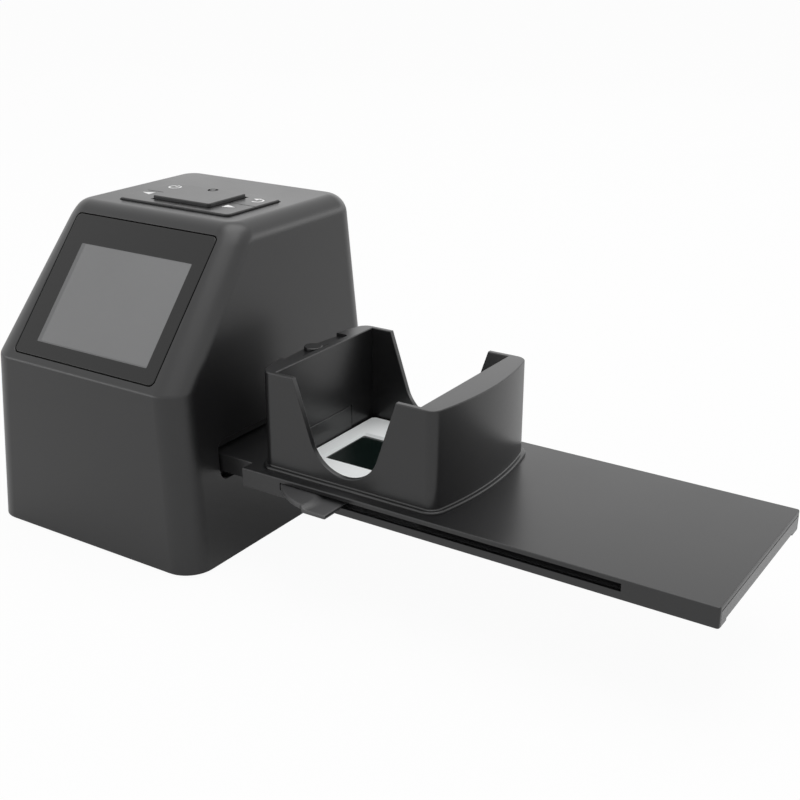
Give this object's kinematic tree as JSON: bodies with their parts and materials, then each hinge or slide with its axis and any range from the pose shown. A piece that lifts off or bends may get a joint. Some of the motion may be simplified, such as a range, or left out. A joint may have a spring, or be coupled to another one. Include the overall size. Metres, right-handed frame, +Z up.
{
  "type": "film negative scanner",
  "caption": "Table-top film and slide scanner: a leaning tower with a sloped display and keys on top, and a plug-in slide feeder with a hopper and a sliding pusher.",
  "frame": {"origin": "Middle of the whole object's box in X and Y, on the surface it stands on: Z = 0 is the underside of the rubber feet.", "axes": "+X runs from the tower to the free end of the slide feeder, +Y to the rear, and +Z up. The display and the pusher's thumb tab face -Y."},
  "size_m": [0.2568, 0.108, 0.1091],
  "materials": {
    "housing_black": "satin black ABS with a very fine moulded grain",
    "base_black": "matt black ABS",
    "foot_rubber": "soft black rubber",
    "screw_steel": "zinc plated",
    "window_gloss": "smooth tinted acrylic",
    "display_grey": "grey display face, switched off",
    "key_black": "smooth satin black",
    "board_green": "solder mask",
    "component_black": "moulded black",
    "socket_steel": "pressed plated steel",
    "light_white": "white, reflecting",
    "led_yellow": "phosphor coated",
    "diffuser_white": "milky acrylic",
    "spring_steel": "bright spring strip",
    "lens_glass": "coated glass",
    "sensor_dark": "sensor cover glass over silicon",
    "feeder_black": "satin black ABS, as the tower",
    "slide_white": "white moulded polystyrene",
    "film_black": "dark developed film"
  },
  "bodies": {
    "tower": {"main_housing": "housing_black", "base_plate": "base_black", "rubber_feet": "foot_rubber", "base_screws": "screw_steel", "display_window": "window_gloss", "lcd_panel": "display_grey", "lcd_bracket": "base_black", "lcd_screws": "screw_steel", "key_board": "board_green", "tact_switches": "component_black", "key_board_screws": "screw_steel", "main_board": "board_green", "main_board_screws": "screw_steel", "usb_socket": "socket_steel", "video_jack": "component_black", "card_slot": "socket_steel", "light_box": "light_white", "led_board": "light_white", "light_leds": "led_yellow", "diffuser": "diffuser_white", "gate_base": "base_black", "gate_top": "base_black", "gate_screws": "screw_steel", "detent_springs": "spring_steel", "camera_chamber": "base_black", "lens_holder": "component_black", "lens_barrel": "component_black", "lens_glass": "lens_glass", "sensor_board": "board_green", "image_sensor": "sensor_dark"},
    "middle_key": {"ok_key": "key_black"},
    "front_left_key": {"left_key": "key_black"},
    "front_right_key": {"right_key": "key_black"},
    "rear_left_key": {"power_key": "key_black"},
    "rear_right_key": {"return_key": "key_black"},
    "feeder": {"feeder_base": "feeder_black", "feeder_cover": "feeder_black", "feeder_screws": "screw_steel", "hopper": "feeder_black"},
    "slide_pusher": {"pusher": "feeder_black"},
    "slide": {"slide_mount_lower": "slide_white", "slide_mount_upper": "slide_white", "slide_film": "film_black"}
  },
  "joints": [
    {"name": "feeder_slide", "type": "slide", "parent": "tower", "child": "feeder", "axis": [1, 0, 0], "range_m": [0, 0.088]},
    {"name": "pusher_slide", "type": "slide", "parent": "feeder", "child": "slide_pusher", "axis": [1, 0, 0], "range_m": [0, 0.089]},
    {"name": "slide_lift", "type": "slide", "parent": "feeder", "child": "slide", "axis": [0, 0, 1], "range_m": [0, 0.045]},
    {"name": "middle_key_press", "type": "slide", "parent": "tower", "child": "middle_key", "axis": [0, 0, -1], "range_m": [0, 0.0006], "stiffness_N_per_m": 1500, "springref_m": -0.0004},
    {"name": "front_left_key_press", "type": "slide", "parent": "tower", "child": "front_left_key", "axis": [0, 0, -1], "range_m": [0, 0.0006], "stiffness_N_per_m": 1500, "springref_m": -0.0004},
    {"name": "front_right_key_press", "type": "slide", "parent": "tower", "child": "front_right_key", "axis": [0, 0, -1], "range_m": [0, 0.0006], "stiffness_N_per_m": 1500, "springref_m": -0.0004},
    {"name": "rear_left_key_press", "type": "slide", "parent": "tower", "child": "rear_left_key", "axis": [0, 0, -1], "range_m": [0, 0.0006], "stiffness_N_per_m": 1500, "springref_m": -0.0004},
    {"name": "rear_right_key_press", "type": "slide", "parent": "tower", "child": "rear_right_key", "axis": [0, 0, -1], "range_m": [0, 0.0006], "stiffness_N_per_m": 1500, "springref_m": -0.0004}
  ]
}
